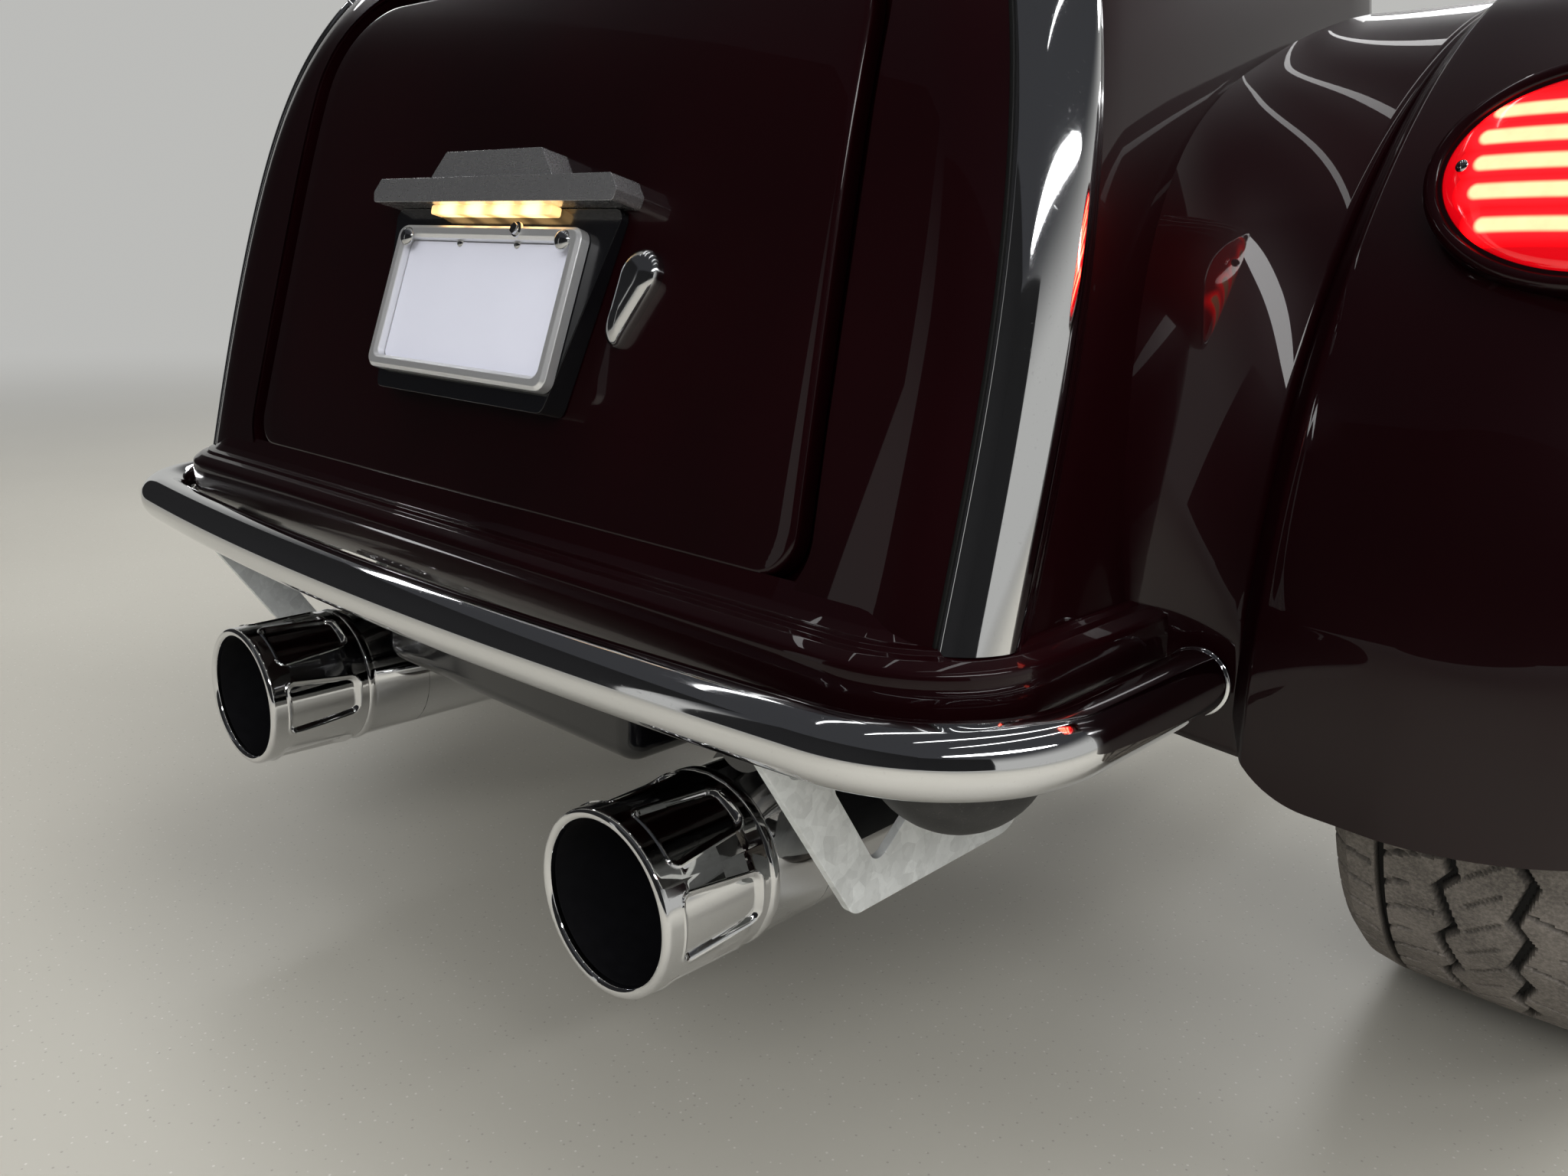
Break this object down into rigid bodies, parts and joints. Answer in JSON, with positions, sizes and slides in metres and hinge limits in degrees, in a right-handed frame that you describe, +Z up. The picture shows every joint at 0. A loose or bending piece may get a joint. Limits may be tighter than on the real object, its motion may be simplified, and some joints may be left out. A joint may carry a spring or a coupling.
{
  "type": "motor trike rear end",
  "caption": "Rear end of a motor trike: trunk body with side-hinged door, fenders, tube bumper, twin exhausts, swingarm axle, belt pulley and road wheels.",
  "frame": {"origin": "centre of the swingarm pivot bore, on the vehicle's middle plane", "axes": "+Y to the front of the vehicle, +X to its right, +Z up"},
  "size_m": [1.432, 1.2371, 0.8924],
  "materials": {
    "body_paint": "gloss",
    "black_frame": "satin",
    "black_plastic": "satin",
    "chrome": "polished",
    "zinc": "satin",
    "steel": "satin",
    "cast_case": "satin",
    "lens_red": "gloss",
    "lamp_amber": "gloss",
    "plate_blank": "satin",
    "tyre": "matte"
  },
  "bodies": {
    "rear_body": {"trunk_shell": "body_paint", "trunk_tub": "black_plastic", "bumper": "chrome", "corner_pods": "black_plastic", "exhaust_hangers": "black_frame", "frame_cross_tube": "black_frame", "swingarm": "black_frame", "axle_housing": "cast_case", "door_hinge_brackets": "steel", "corner_trim_left": "chrome", "corner_trim_right": "chrome", "fender_left": "body_paint", "fender_right": "body_paint", "tail_lamp_housing_left": "body_paint", "tail_lamp_housing_right": "body_paint", "tail_lamp_lens_left": "lens_red", "tail_lamp_lens_right": "lens_red", "bumper_bracket_left": "zinc", "bumper_bracket_right": "zinc", "muffler_left": "chrome", "muffler_right": "chrome", "muffler_tip_left": "chrome", "muffler_tip_right": "chrome", "frame_rail_left": "black_frame", "frame_rail_right": "black_frame", "frame_stay_left": "black_frame", "frame_stay_right": "black_frame", "shock_absorber_left": "chrome", "shock_absorber_right": "chrome", "brake_caliper_left": "black_frame", "brake_caliper_right": "black_frame"},
    "trunk_door": {"trunk_door": "body_paint", "door_hinge_arms": "black_frame", "door_handle": "chrome", "plate_housing": "black_plastic", "plate_visor": "chrome", "plate_lamp": "lamp_amber", "plate_frame": "chrome", "licence_plate": "plate_blank"},
    "wheel_left": {"wheel_left": "chrome", "tyre_left": "tyre", "hub_left": "steel"},
    "wheel_right": {"wheel_right": "chrome", "tyre_right": "tyre", "hub_right": "steel"},
    "drive_pulley": {"drive_pulley": "steel"}
  },
  "joints": [
    {"name": "wheel_left_spin", "type": "hinge", "parent": "rear_body", "child": "wheel_left", "pos_m": [-0.605, -0.5, -0.022], "axis": [1, 0, 0], "continuous": true},
    {"name": "wheel_right_spin", "type": "hinge", "parent": "rear_body", "child": "wheel_right", "pos_m": [0.605, -0.5, -0.022], "axis": [1, 0, 0], "continuous": true},
    {"name": "drive_pulley_spin", "type": "hinge", "parent": "rear_body", "child": "drive_pulley", "pos_m": [-0.09, -0.5, -0.022], "axis": [1, 0, 0], "continuous": true},
    {"name": "trunk_door_hinge", "type": "hinge", "parent": "rear_body", "child": "trunk_door", "pos_m": [-0.372, -1.09262, 0.0246], "axis": [0, -0.225, -0.9744], "range_deg": [0, 90]}
  ]
}
